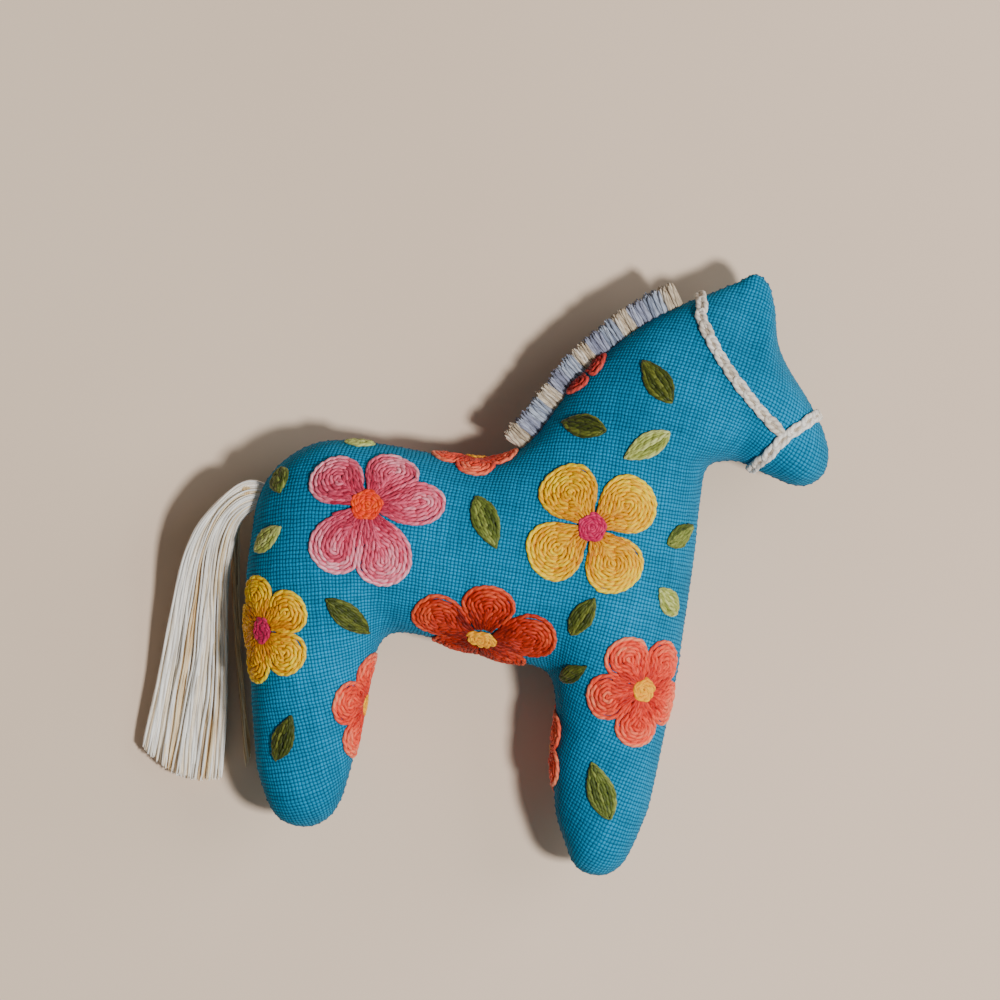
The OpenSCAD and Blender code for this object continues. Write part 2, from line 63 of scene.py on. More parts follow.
stuffing_low, stuffing_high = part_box("stuffing")
panel_low, panel_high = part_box("right_panel")
seam_z = panel_low.z
cloth_gap = stuffing_low.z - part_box("left_panel")[0].z    # canvas and slack over the stuffing


# ---------------------------------------------------------------- numbers and meshes
def unit(v):
    return v / np.maximum(np.linalg.norm(v, axis=-1, keepdims=True), 1e-12)


def as_array(points):
    return np.array([tuple(p) for p in points], float)


def mesh_arrays(obj):
    """Vertex places and triangle list of an object's mesh."""
    me = obj.data
    me.calc_loop_triangles()
    co = np.zeros(len(me.vertices) * 3)
    me.vertices.foreach_get("co", co)
    tri = np.zeros(len(me.loop_triangles) * 3, np.int32)
    me.loop_triangles.foreach_get("vertices", tri)
    return co.reshape(-1, 3), tri.reshape(-1, 3)


def set_places(me, co):
    me.vertices.foreach_set("co", np.ascontiguousarray(co, np.float64).ravel())
    me.update()


def link(name, me):
    obj = bpy.data.objects.new(name, me)
    bpy.context.scene.collection.objects.link(obj)
    return obj


def mesh_from(name, co, faces, values=None, uv=None):
    """A mesh from places and faces of 4 corners, with named values at its points."""
    me = bpy.data.meshes.new(name)
    me.vertices.add(len(co))
    me.loops.add(faces.size)
    me.polygons.add(len(faces))
    me.vertices.foreach_set("co", np.ascontiguousarray(co, np.float32).ravel())
    me.loops.foreach_set("vertex_index", np.ascontiguousarray(faces, np.int32).ravel())
    me.polygons.foreach_set("loop_start", np.arange(len(faces), dtype=np.int32) * faces.shape[1])
    me.polygons.foreach_set("use_smooth", np.ones(len(faces), bool))
    me.update(calc_edges=True)
    for key, value in (values or {}).items():
        layer = me.attributes.new(key, "FLOAT", "POINT")
        layer.data.foreach_set("value", np.ascontiguousarray(value, np.float32))
    if uv is not None:
        layer = me.uv_layers.new(name="UVMap")
        layer.data.foreach_set("uv", np.ascontiguousarray(uv, np.float32).ravel())
    return link(name, me)


# ---------------------------------------------------------------- colours and materials
def rgb(r, g, b):
    """A linear colour from 0 to 255 screen values."""
    return tuple(((c / 255 + 0.055) / 1.055) ** 2.4 if c > 10 else c / 3295 for c in (r, g, b)) + (1.0,)


class Nodes:
    """A short way to write a node tree."""

    def __init__(self, name):
        self.material = bpy.data.materials.new(name)
        self.material.use_nodes = True
        self.tree = self.material.node_tree
        self.shader = self.tree.nodes["Principled BSDF"]

    def add(self, kind, **settings):
        node = self.tree.nodes.new("ShaderNode" + kind)
        for key, value in settings.items():
            setattr(node, key, value)
        return node

    def put(self, socket, value):
        if isinstance(value, bpy.types.NodeSocket):
            self.tree.links.new(value, socket)
        else:
            socket.default_value = value

    def math(self, operation, *values):
        node = self.add("Math", operation=operation)
        for socket, value in zip(node.inputs, values):
            self.put(socket, value)
        return node.outputs[0]

    def mix(self, factor, a, b, blend="MIX"):
        node = self.add("Mix", data_type="RGBA", blend_type=blend)
        self.put(node.inputs[0], factor)
        self.put(node.inputs[6], a)
        self.put(node.inputs[7], b)
        return node.outputs[2]

    def ramp(self, value, *stops):
        node = self.add("ValToRGB")
        ramp = node.color_ramp
        while len(ramp.elements) < len(stops):
            ramp.elements.new(0.5)
        for element, (at, colour) in zip(ramp.elements, stops):
            element.position = at
            element.color = colour
        self.put(node.inputs[0], value)
        return node.outputs[0]

    def attribute(self, name):
        return self.add("Attribute", attribute_name=name).outputs["Fac"]

    def noise(self, scale, detail=3.0, vector=None, stretch=None):
        vector = vector or self.add("TexCoord").outputs["Object"]
        if stretch:
            mapping = self.add("Mapping")
            self.put(mapping.inputs["Vector"], vector)
            mapping.inputs["Scale"].default_value = stretch
            vector = mapping.outputs[0]
        node = self.add("TexNoise")
        self.put(node.inputs["Vector"], vector)
        node.inputs["Scale"].default_value = scale
        node.inputs["Detail"].default_value = detail
        return node.outputs["Fac"]

    def bump(self, height, distance, strength=1.0, under=None):
        node = self.add("Bump")
        node.inputs["Distance"].default_value = distance
        node.inputs["Strength"].default_value = strength
        self.put(node.inputs["Height"], height)
        if under:
            self.put(node.inputs["Normal"], under)
        return node.outputs[0]

    def finish(self, colour, roughness, normal, sheen=0.0, specular=0.35):
        self.put(self.shader.inputs["Base Color"], colour)
        self.put(self.shader.inputs["Roughness"], roughness)
        self.put(self.shader.inputs["Normal"], normal)
        self.shader.inputs["Sheen Weight"].default_value = sheen
        self.shader.inputs["Sheen Roughness"].default_value = 0.5
        self.shader.inputs["Specular IOR Level"].default_value = specular
        return self.material


def weave_height(n):
    """Plain weave over the cloth's own flat layout, 0 in the holes and 1 on the threads."""
    uv = n.add("UVMap", uv_map="UVMap").outputs[0]
    parts = n.add("SeparateXYZ")
    n.put(parts.inputs[0], uv)
    wobble = n.math("MULTIPLY", n.noise(260.0, 2.0, uv), 2.2)
    across = n.math("SINE", n.math("ADD", n.math("MULTIPLY", parts.outputs[0], math.pi / WEAVE), wobble))
    upward = n.math("SINE", n.math("ADD", n.math("MULTIPLY", parts.outputs[1], math.pi / WEAVE), wobble))
    a, b = n.math("ABSOLUTE", across), n.math("ABSOLUTE", upward)
    over = n.math("GREATER_THAN", n.math("MULTIPLY", across, upward), 0.0)

    def float_of(thread, length):
        arch = n.math("MULTIPLY_ADD", length, 0.62, 0.38)
        return n.math("MULTIPLY", n.math("POWER", thread, 0.7), arch)

    first, second = float_of(a, b), float_of(b, a)
    height = n.math("ADD", n.math("MULTIPLY", first, over),
                    n.math("MULTIPLY", second, n.math("SUBTRACT", 1.0, over)))
    return uv, height


def canvas_material(name, painted_hole_shade, middle, painted_crown_light):
    n = Nodes(name)
    uv, height = weave_height(n)
    fibre = n.noise(9000.0, 2.0, uv)
    streak_across = n.noise(900.0, 2.0, uv, (0.08, 1.0, 1.0))
    streak_up = n.noise(900.0, 2.0, uv, (1.0, 0.08, 1.0))
    streak = n.math("MULTIPLY", n.math("ADD", streak_across, streak_up), 0.5)
    # Painted shade and highlight: the weave's holes are darker and the threads' crowns lighter.
    base = n.ramp(height, (0.12, painted_hole_shade), (0.50, middle), (0.95, painted_crown_light))
    worn = n.ramp(streak, (0.35, (0.80, 0.80, 0.80, 1)), (0.65, (1.18, 1.18, 1.18, 1)))
    colour = n.mix(1.0, base, worn, "MULTIPLY")
    # Random darker and lighter patches over the cloth: painted shading.
    patch = n.ramp(n.noise(45.0, 3.0), (0.3, (0.84, 0.84, 0.84, 1)), (0.7, (1.12, 1.12, 1.12, 1)))
    colour = n.mix(1.0, colour, patch, "MULTIPLY")
    normal = n.bump(height, 0.22 * MM, 0.9)
    normal = n.bump(fibre, 0.05 * MM, 0.6, normal)
    roughness = n.math("MULTIPLY_ADD", height, -0.12, 0.86)
    return n.finish(colour, roughness, normal, sheen=0.03, specular=0.12)


def thread_material(name, dark, middle, light, roughness=0.55, sheen=0.08, fuzz=0.5):
    """Twisted thread: shade runs from dark to light, and ply paints shade into the twist's grooves."""
    n = Nodes(name)
    shade = n.attribute("shade")
    ply = n.attribute("ply")
    fine = n.noise(5200.0, 3.0)
    mottled = n.math("ADD", shade, n.math("MULTIPLY", n.math("SUBTRACT", fine, 0.5), 0.55))
    colour = n.ramp(mottled, (0.02, dark), (0.48, middle), (0.95, light))
    # Painted shade: the thread is darker in the grooves of its twist.
    painted_groove_shade = n.ramp(ply, (0.0, (0.6, 0.57, 0.56, 1)), (0.6, (1.0, 1.0, 1.0, 1)))
    colour = n.mix(1.0, colour, painted_groove_shade, "MULTIPLY")
    uv = n.add("UVMap", uv_map="UVMap").outputs[0]
    fibre = n.noise(1.0, 2.0, uv, (2600.0, 9.0, 1.0))
    normal = n.bump(fibre, 0.06 * MM, fuzz)
    normal = n.bump(fine, 0.04 * MM, 0.5 * fuzz, normal)
    rough = n.math("MULTIPLY_ADD", fine, 0.2, roughness - 0.1)
    return n.finish(colour, rough, normal, sheen=sheen, specular=0.22)


def floor_material():
    n = Nodes("pale_floor")
    cloud = n.noise(3.0, 4.0)
    grain = n.noise(900.0, 3.0)
    colour = n.ramp(cloud, (0.3, rgb(226, 200, 176)), (0.7, rgb(236, 212, 188)))
    return n.finish(colour, 0.9, n.bump(grain, 0.05 * MM, 0.3), specular=0.1)


# Teal canvas: its darkest colour is painted shade in the weave's holes, its brightest a painted highlight on
# the thread crowns.
CANVAS = canvas_material("teal_canvas", rgb(0, 66, 98), rgb(0, 122, 164), rgb(0, 142, 186))
THREADS = {
    "pink": thread_material("pink_thread", rgb(176, 30, 62), rgb(230, 92, 120), rgb(255, 176, 190)),
    "orange": thread_material("orange_thread", rgb(204, 22, 0), rgb(246, 54, 0), rgb(255, 112, 0)),
    "yellow": thread_material("yellow_thread", rgb(206, 124, 0), rgb(246, 184, 0), rgb(255, 222, 12),
                              sheen=0.0),
    "magenta": thread_material("magenta_thread", rgb(140, 0, 52), rgb(206, 20, 84), rgb(226, 70, 116)),
    "rust": thread_material("rust_thread", rgb(116, 14, 2), rgb(190, 42, 14), rgb(234, 92, 52),
                            sheen=0.02),
    "coral": thread_material("coral_thread", rgb(196, 28, 16), rgb(248, 76, 48), rgb(255, 138, 98)),
    "gold": thread_material("gold_thread", rgb(214, 116, 0), rgb(255, 172, 0), rgb(255, 212, 30)),
    "red": thread_material("red_thread", rgb(140, 16, 20), rgb(204, 46, 42), rgb(232, 86, 70)),
    "light": thread_material("light_green_thread", rgb(104, 114, 40), rgb(160, 170, 78), rgb(204, 210, 132)),
    "middle": thread_material("middle_green_thread", rgb(44, 58, 12), rgb(92, 106, 34), rgb(148, 158, 76)),
    "dark": thread_material("dark_green_thread", rgb(30, 38, 4), rgb(66, 76, 16), rgb(112, 118, 40)),
    "canvas": thread_material("seam_cotton", rgb(0, 40, 66), rgb(0, 84, 124), rgb(0, 122, 164)),
    "bridle": thread_material("bridle_wool", rgb(176, 160, 138), rgb(228, 218, 202), rgb(250, 246, 238),
                              roughness=0.8, sheen=0.5, fuzz=0.9),
    "cream": thread_material("cream_yarn", rgb(218, 174, 112), rgb(255, 236, 204), rgb(255, 253, 246),
                             roughness=0.5, sheen=0.3),
    "tan": thread_material("tan_yarn", rgb(204, 160, 100), rgb(240, 206, 150), rgb(252, 232, 194),
                           roughness=0.55, sheen=0.3),
    "wisp": thread_material("wisp_yarn", rgb(196, 152, 98), rgb(234, 200, 150), rgb(255, 238, 204),
                            roughness=0.6, sheen=0.2),
    "blue_wool": thread_material("blue_grey_wool", rgb(104, 112, 134), rgb(158, 168, 186),
                                 rgb(210, 216, 226), roughness=0.85, sheen=0.5, fuzz=0.9),
    "beige_wool": thread_material("beige_wool", rgb(140, 118, 92), rgb(204, 184, 154),
                                  rgb(240, 230, 214), roughness=0.85, sheen=0.5, fuzz=0.9),
    "lilac_wool": thread_material("lilac_wool", rgb(98, 100, 124), rgb(146, 150, 172),
                                  rgb(194, 198, 214), roughness=0.85, sheen=0.5, fuzz=0.9),
}


# ---------------------------------------------------------------- the cloth body
def smooth(co, edges, rounds, pull=0.5, push=-0.52):
    """Evens a mesh out without shrinking it."""
    count = np.bincount(edges.ravel(), minlength=len(co))[:, None]
    for i in range(2 * rounds):
        total = np.zeros_like(co)
        np.add.at(total, edges[:, 0], co[edges[:, 1]])
        np.add.at(total, edges[:, 1], co[edges[:, 0]])
        co = co + (total / count - co) * (pull if i % 2 == 0 else push)
    return co


def edge_list(me):
    edges = np.zeros(len(me.edges) * 2, np.int32)
    me.edges.foreach_get("vertices", edges)
    return edges.reshape(-1, 2)


def vertex_normals(me):
    normals = np.zeros(len(me.vertices) * 3, np.float32)
    me.vertices.foreach_get("normal", normals)
    return normals.reshape(-1, 3).astype(float)


def apply_modifiers(obj):
    """The object's mesh as its modifiers leave it, with none left on it."""
    dg = bpy.context.evaluated_depsgraph_get()
    me = bpy.data.meshes.new_from_object(obj.evaluated_get(dg))
    obj.modifiers.clear()
    old, obj.data = obj.data, me
    bpy.data.meshes.remove(old)


def remeshed_stuffing(voxel):
    obj = link("body_form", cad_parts["stuffing"].data.copy())
    remesh = obj.modifiers.new("remesh", "REMESH")
    remesh.mode = "VOXEL"
    remesh.voxel_size = voxel
    apply_modifiers(obj)
    me = obj.data
    co, _ = mesh_arrays(obj)
    set_places(me, smooth(co, edge_list(me), 8))
    return obj


def swell(obj, pressure, frames, most):
    """Blows the form up as cloth for a few frames, and returns how far each point moved."""
    start, _ = mesh_arrays(obj)
    cloth = obj.modifiers.new("cloth", "CLOTH")
    settings = cloth.settings
    settings.quality = 5
    settings.mass = 0.15
    settings.use_pressure = True
    settings.uniform_pressure_force = pressure
    settings.tension_stiffness = settings.compression_stiffness = 40
    settings.bending_stiffness = 2
    settings.effector_weights.gravity = 0
    cloth.point_cache.frame_start, cloth.point_cache.frame_end = 1, frames
    scene = bpy.context.scene
    for i in range(1, frames + 1):
        scene.frame_set(i)
    dg = bpy.context.evaluated_depsgraph_get()
    grown = obj.evaluated_get(dg).to_mesh()
    end = np.zeros(len(grown.vertices) * 3)
    grown.vertices.foreach_get("co", end)
    obj.modifiers.clear()
    scene.frame_set(1)
    move = end.reshape(-1, 3) - start
    far = np.linalg.norm(move, axis=1, keepdims=True)
    return move * np.minimum(1.0, most / np.maximum(far, 1e-9))


EMBROIDERY = 0.9 * MM      # the cloth lies this high, on the left side's stitches
VOXEL = 2.0 * MM
RELIEF = 0.13 * MM


def body_form():
    """The cloth's surface: the stuffing's form, swelled to the canvas's thickness."""
    obj = remeshed_stuffing(VOXEL)
    me = obj.data
    start, _ = mesh_arrays(obj)
    normals = vertex_normals(me)
    puff = (swell(obj, 4.0, 12, 3 * MM) * normals).sum(1)
    puff = (puff - puff.mean()) / max(puff.std(), 1e-9)
    lift = cloth_gap + np.clip(puff, -2, 2) * 0.12 * MM
    co = start + normals * lift[:, None]
    co = smooth(co, edge_list(me), 6)
    co[:, 2] = np.maximum(co[:, 2], EMBROIDERY)
    set_places(me, co)
    return obj


FORM = body_form()


def make_tree(obj, levels=1):
    """A search tree over a smoother copy of a mesh."""
    copy = obj.copy()
    copy.data = obj.data.copy()
    bpy.context.scene.collection.objects.link(copy)
    copy.modifiers.new("finer", "SUBSURF").levels = levels
    dg = bpy.context.evaluated_depsgraph_get()
    tree = BVHTree.FromObject(copy, dg)
    bpy.data.objects.remove(copy)
    return tree


SKIN = make_tree(FORM)


# ---------------------------------------------------------------- the two panels
def half_of_form(name, side):
    """The form cut at the seam, keeping the right (1) or left (-1) side."""
    me = FORM.data.copy()
    bm = bmesh.new()
    bm.from_mesh(me)
    geometry = bm.verts[:] + bm.edges[:] + bm.faces[:]
    bmesh.ops.bisect_plane(bm, geom=geometry, dist=0.1 * MM, plane_co=(0, 0, seam_z),
                           plane_no=(0, 0, side), clear_inner=True)
    bm.to_mesh(me)
    bm.free()
    return link(name, me)


def unfold(obj):
    """Lays the panel out flat in mm-true UVs, with the grain along the trunk."""
    bpy.context.view_layer.objects.active = obj
    bpy.ops.object.select_all(action="DESELECT")
    obj.select_set(True)
    bpy.ops.object.mode_set(mode="EDIT")
    bpy.ops.mesh.select_all(action="SELECT")
    bpy.ops.uv.unwrap(method="MINIMUM_STRETCH", fill_holes=False, margin=0.0, iterations=30)
    bpy.ops.object.mode_set(mode="OBJECT")
    me = obj.data
    co, _ = mesh_arrays(obj)
    uv = np.zeros(len(me.loops) * 2)
    me.uv_layers.active.data.foreach_get("uv", uv)
    uv = uv.reshape(-1, 2)
    corner = np.zeros(len(me.loops), np.int32)
    me.loops.foreach_get("vertex_index", corner)
    tri = np.array([t.loops[:] for t in me.loop_triangles])
    p, q = co[corner[tri]], uv[tri]
    real = np.linalg.norm(np.cross(p[:, 1] - p[:, 0], p[:, 2] - p[:, 0]), axis=1).sum()
    a, b = q[:, 1] - q[:, 0], q[:, 2] - q[:, 0]
    flat = np.abs(a[:, 0] * b[:, 1] - a[:, 1] * b[:, 0]).sum()
    uv *= math.sqrt(real / flat)
    middle = co[corner] - (panel_low + panel_high) / 2
    near = np.linalg.norm(middle[:, :2] / np.array([0.05, 0.03]), axis=1) < 1
    x, u = co[corner][near, 0], uv[near]
    x = x - x.mean()
    slope = (x[:, None] * (u - u.mean(0))).sum(0)
    turn = math.atan2(slope[1], slope[0])
    c, s = math.cos(-turn), math.sin(-turn)
    uv = uv @ np.array([[c, s], [-s, c]])
    me.uv_layers.active.data.foreach_set("uv", uv.ravel())
    me.uv_layers.active.name = "UVMap"


def point_uvs(me):
    corner = np.zeros(len(me.loops), np.int32)
    me.loops.foreach_get("vertex_index", corner)
    uv = np.zeros(len(me.loops) * 2)
    me.uv_layers.active.data.foreach_get("uv", uv)
    out = np.zeros((len(me.vertices), 2))
    out[corner] = uv.reshape(-1, 2)
    return out


def woven(uv):
    """Height of the plain weave at flat places, from 0 to 1, as the canvas material has it."""
    across = np.sin(math.pi * uv[:, 0] / WEAVE)
    upward = np.sin(math.pi * uv[:, 1] / WEAVE)
    a, b = np.abs(across), np.abs(upward)
    over = across * upward > 0
    return np.where(over, a ** 0.7 * (0.38 + 0.62 * b), b ** 0.7 * (0.38 + 0.62 * a))


def panel(name, node, side):
    """One cloth panel: woven relief all over, drawn in along the seam."""
    obj = half_of_form(name, side)
    unfold(obj)
    obj.modifiers.new("finer", "SUBSURF").levels = 2
    obj.modifiers[0].boundary_smooth = "ALL"
    apply_modifiers(obj)
    me = obj.data
    co, _ = mesh_arrays(obj)
    normals = vertex_normals(me)
    seam = np.abs(co[:, 2] - seam_z)
    draw = 0.45 * MM * np.exp(-(seam / (0.8 * MM)) ** 2)
    relief = RELIEF * (woven(point_uvs(me)) - 0.7)
    co = co + normals * (relief - draw)[:, None]
    co[:, 2] = np.maximum(co[:, 2], 0.0)
    set_places(me, co)
    me.polygons.foreach_set("use_smooth", np.ones(len(me.polygons), bool))
    me.materials.clear()
    me.materials.append(CANVAS)
    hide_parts(node)
    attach(obj, "horse")
    return obj


# ---------------------------------------------------------------- thread
def resampled(points, step):
    """The same line with evenly spaced points."""
    gaps = np.linalg.norm(np.diff(points, axis=0), axis=1)
    run = np.concatenate([[0], np.cumsum(gaps)])
    count = max(4, int(run[-1] / step) + 1)
    at = np.linspace(0, run[-1], count)
    return np.stack([np.interp(at, run, points[:, i]) for i in range(points.shape[1])], axis=1)


class Yarn:
    """Collects threads and turns them into one mesh."""

    def __init__(self, sides=8):
        self.sides = sides
        self.co, self.faces, self.uv, self.shade, self.ply, self.count = [], [], [], [], [], 0

    def thread(self, line, out, radius, shade, turn=PLY_TURN, lobes=2, depth=0.22, taper=2, flat=1.0):
        """A twisted thread along a line; out is the direction away from the cloth."""
        n, sides = len(line), self.sides
        ahead = unit(np.gradient(line, axis=0))
        across = unit(np.cross(ahead, out))
        up = np.cross(across, ahead)
        run = np.concatenate([[0], np.cumsum(np.linalg.norm(np.diff(line, axis=0), axis=1))])
        ring = np.arange(sides) * 2 * math.pi / sides
        phase = RNG.uniform(0, 2 * math.pi)
        twist = lobes * (ring[None, :] - 2 * math.pi * run[:, None] / (turn * lobes)) + phase
        ply = 0.5 + 0.5 * np.cos(twist)
        ends = np.minimum(np.arange(n), np.arange(n)[::-1])
        close = np.clip((ends + 0.35) / taper, 0, 1) ** 0.5
        r = (np.broadcast_to(radius, n) * close)[:, None] * (1 - depth + depth * ply)
        co = (line[:, None, :] + across[:, None, :] * (r * np.cos(ring))[..., None]
              + up[:, None, :] * (flat * r * np.sin(ring))[..., None])
        base = self.count
        a = base + np.arange(n - 1)[:, None] * sides + np.arange(sides)[None, :]
        b = base + np.arange(n - 1)[:, None] * sides + (np.arange(sides)[None, :] + 1) % sides
        quads = np.stack([a, b, b + sides, a + sides], axis=-1).reshape(-1, 4)
        corner_v = np.stack([np.arange(sides), np.arange(sides) + 1], axis=1) / sides
        v = np.broadcast_to(corner_v[None], (n - 1, sides, 2))
        u0 = np.broadcast_to(run[:-1, None], (n - 1, sides))
        u1 = np.broadcast_to(run[1:, None], (n - 1, sides))
        uv = np.stack([np.stack([u0, v[..., 0]], -1), np.stack([u0, v[..., 1]], -1),
                       np.stack([u1, v[..., 1]], -1), np.stack([u1, v[..., 0]], -1)], axis=2)
        self.co.append(co.reshape(-1, 3))
        self.faces.append(quads)
        self.uv.append(uv.reshape(-1, 2))
        self.shade.append(np.repeat(np.broadcast_to(shade, n), sides))
        self.ply.append(ply.ravel())
        self.count += n * sides

    def piece(self, name, material, slot, body, *nodes):
        co = np.concatenate(self.co)
        co[:, 2] = np.maximum(co[:, 2], 0.02 * MM)
        obj = mesh_from(name, co, np.concatenate(self.faces),
                        {"shade": np.concatenate(self.shade), "ply": np.concatenate(self.ply)},
                        np.concatenate(self.uv))
        obj.data.materials.append(material)
        if nodes:
            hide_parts(*nodes)
        if body:
            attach(obj, body)
        return obj


def on_skin(point):
    place, normal, _, _ = SKIN.find_nearest(Vector(point))
    return np.array(place), np.array(normal)


class Patch:
    """A flat drawing's place on the skin: the middle, and lines walked out from it."""

    STEP = 0.8 * MM

    def __init__(self, middle, first, reach, rays=48):
        place, normal = on_skin(middle)
        self.rays, self.steps = rays, int(reach / self.STEP) + 2
        first = unit(first - normal * (first @ normal))
        second = np.cross(normal, first)
        self.place = np.zeros((rays + 1, self.steps, 3))
        self.normal = np.zeros_like(self.place)
        for i in range(rays):
            a = 2 * math.pi * i / rays
            self.walk(i, place, normal, math.cos(a) * first + math.sin(a) * second)
        self.place[rays], self.normal[rays] = self.place[0], self.normal[0]

    def walk(self, i, place, normal, heading):
        for j in range(self.steps):
            self.place[i, j], self.normal[i, j] = place, normal
            place, normal = on_skin(place + heading * self.STEP)
            heading = unit(heading - normal * (heading @ normal))

    def at(self, x, y, lift):
        """Skin places and outward directions for flat places, raised by lift."""
        ray = (np.arctan2(y, x) % (2 * math.pi)) / (2 * math.pi) * self.rays
        step = np.minimum(np.hypot(x, y) / self.STEP, self.steps - 1.001)
        i, j = np.minimum(ray.astype(int), self.rays - 1), step.astype(int)
        f, g = (ray - i)[:, None], (step - j)[:, None]

        def between(grid):
            low = grid[i, j] * (1 - f) + grid[i + 1, j] * f
            high = grid[i, j + 1] * (1 - f) + grid[i + 1, j + 1] * f
            return low * (1 - g) + high * g

        out = unit(between(self.normal))
        return between(self.place) + out * np.reshape(lift, (-1, 1)), out


def stitched(run, length, start, dip):
    """Height along a line of stitches: down into the cloth where one ends and the next begins."""
    phase = np.abs(((run + start) / length + 0.5) % 1 - 0.5) * length
    return 1 - dip * np.exp(-(phase / (0.42 * MM)) ** 2)


def row(yarn, patch, flat, shade, lift, radius=THREAD, stitch=3.4 * MM, dip=0.55):
    """One row of stitches along a flat line, laid on the skin."""
    flat = resampled(flat, 0.34 * MM)
    n = len(flat)
    run = np.arange(n) * 0.34 * MM
    length = stitch * RNG.uniform(0.85, 1.2)
    start = RNG.uniform(0, length)
    height = stitched(run, length, start, dip)
    number = ((run + start) / length).astype(int)
    tone = RNG.uniform(-0.16, 0.16, number.max() + 1)[number]
    bends = np.arange(0, run[-1] + 4 * MM, 2 * MM)
    drift = np.interp(run, bends, RNG.normal(0, 0.09 * MM, len(bends)))
    line, out = patch.at(flat[:, 0] + drift, flat[:, 1] + drift, (lift * height))
    yarn.thread(line, out, radius * (0.82 + 0.22 * height), np.clip(shade + tone, 0, 1))


# ---------------------------------------------------------------- flowers and leaves
def half_rooms(petals, angle):
    """Half the angle from a petal to its neighbours on its two sides, at most 60 degrees."""
    ahead = min((other - angle) % 360 for other, _, _ in petals if other != angle)
    behind = min((angle - other) % 360 for other, _, _ in petals if other != angle)
    return [math.radians(min(gap / 2, 60)) for gap in (ahead, behind)]


def petal(yarn, patch, angle, start, reach, width, rooms, shade=0.5):
    """U-shaped rows of stitches, one inside another, from the centre round the tip and back."""
    rows = int(width / ROW)
    c, s = math.cos(angle), math.sin(angle)
    for i in range(rows + 1):
        inset = (i + 0.5) * ROW + (0.3 * ROW if i else 0)
        w = width - inset
        if w < 0.1 * ROW:
            break
        tip = reach - inset
        sweep = math.radians(170 - 7 * min(i, 8))
        a = np.linspace(-sweep, sweep, 48)
        x = (start + tip) / 2 + (tip - start) / 2 * np.cos(a)
        room = np.where(a > 0, *rooms)
        most = np.maximum(x * np.tan(room) - inset / np.cos(room), 0.1 * ROW)
        y = np.sign(a) * np.minimum(w * np.abs(np.sin(a)) * (1 + 0.12 * np.cos(a)), most)
        flat = np.stack([x * c - y * s, x * s + y * c], axis=1)
        along = np.clip((resampled(np.stack([x, y], 1), 0.34 * MM)[:, 0] - start) / (reach - start), 0, 1)
        tone = shade - 0.34 + 0.6 * along + RNG.uniform(-0.16, 0.16) + (0.12 if i == 0 else 0)
        crown = 0.40 * MM + 0.42 * MM * min(i, 3) / 3
        row(yarn, patch, flat, tone, crown, THREAD * (1.02 if i == 0 else 1.0))
        # A padding row under each row, its thread darker: painted shade in the gaps between rows.
        padding = flat * (1 - 0.45 * ROW / np.maximum(np.hypot(*flat.T), ROW))[:, None]
        row(yarn, patch, padding, tone.mean() - 0.25, 0.3 * crown, THREAD, dip=0)
    base_stitches(yarn, patch, angle, start, reach, rooms, shade)


def base_stitches(yarn, patch, angle, start, reach, rooms, shade):
    """Straight stitches that fan out from the centre and fill the petal's base."""
    for turn in np.linspace(-0.8 * rooms[1], 0.8 * rooms[0], 8):
        c, s = math.cos(angle + turn), math.sin(angle + turn)
        length = (reach - start) * RNG.uniform(0.28, 0.5)
        x = np.array([start - 0.9 * MM, start + length])
        flat = np.stack([x * c, x * s], axis=1)
        row(yarn, patch, flat, shade - 0.42 + RNG.uniform(-0.12, 0.12), 0.66 * MM, THREAD * 0.9, dip=0.2)


def spiral(yarn, patch, wide, high, shade=0.5):
    """A centre: one thread coiled from the middle out."""
    turns = max(wide, high) / (0.72 * ROW)
    a = np.linspace(0.6, 2 * math.pi * turns, int(60 * turns))
    r = a / a[-1]
    wave = 1 + 0.06 * np.sin(5 * a)
    flat = np.stack([r * wave * (wide - THREAD) * np.cos(a), r * wave * (high - THREAD) * np.sin(a)], axis=1)
    row(yarn, patch, flat, shade, 0.95 * MM, THREAD * 0.95, stitch=1.9 * MM, dip=0.35)


def leaf(yarn, patch, length, width, shade=0.5):
    """Slanted rows either side of a vein, inside a pointed outline."""
    half = 0.56 * width

    def edge(t):
        return half * np.sin(math.pi * t ** 0.86) ** 0.85

    for side in (-1, 1):
        t = np.linspace(0.0, 1.0, 30)
        rim = np.stack([(t - 0.5) * length, side * np.maximum(edge(t) - 0.4 * ROW, 0)], axis=1)
        row(yarn, patch, rim, shade + RNG.uniform(-0.1, 0.25), 0.42 * MM, THREAD * 0.9, stitch=3 * MM, dip=0.3)
        rows = max(1, int(half / (0.8 * ROW)))
        for i in range(rows):
            share = (i + 0.35) / (rows + 0.6)
            t = np.linspace(0.04 + 0.1 * share, 0.97 - 0.12 * share, 24)
            y = side * np.maximum(edge(t) * share, 0.2 * MM)
            flat = np.stack([(t - 0.5) * length, y], axis=1)
            crown = 0.44 * MM + 0.34 * MM * (1 - share)
            row(yarn, patch, flat, shade + RNG.uniform(-0.3, 0.3), crown, THREAD * 0.92, stitch=3 * MM, dip=0.4)


def five(first, reach, width):
    return [(a + first, reach, width) for a in range(0, 360, 72)]


# Petals as angle, reach and half width in mm: on a side from +X towards +Y, over an
# edge from the way over it towards the way along it.
PINK = [(146, 18, 7.8), (64, 18.5, 7.2), (13, 21, 6.2), (-64, 22.5, 7.8), (-117, 21, 7.6)]
YELLOW = [(131, 19, 8), (42, 19, 8), (-49, 19, 8), (-139, 19, 8)]
BELLY = [(180, 17, 7.2), (108, 20.5, 7.2), (252, 20.5, 7.2), (36, 17, 6.8), (-36, 17, 6.8)]
CREST = [(a, 8.8, 4) for a in (36, 144, 216, 324)]
KNEE = five(-17, 15.5, 6.2)
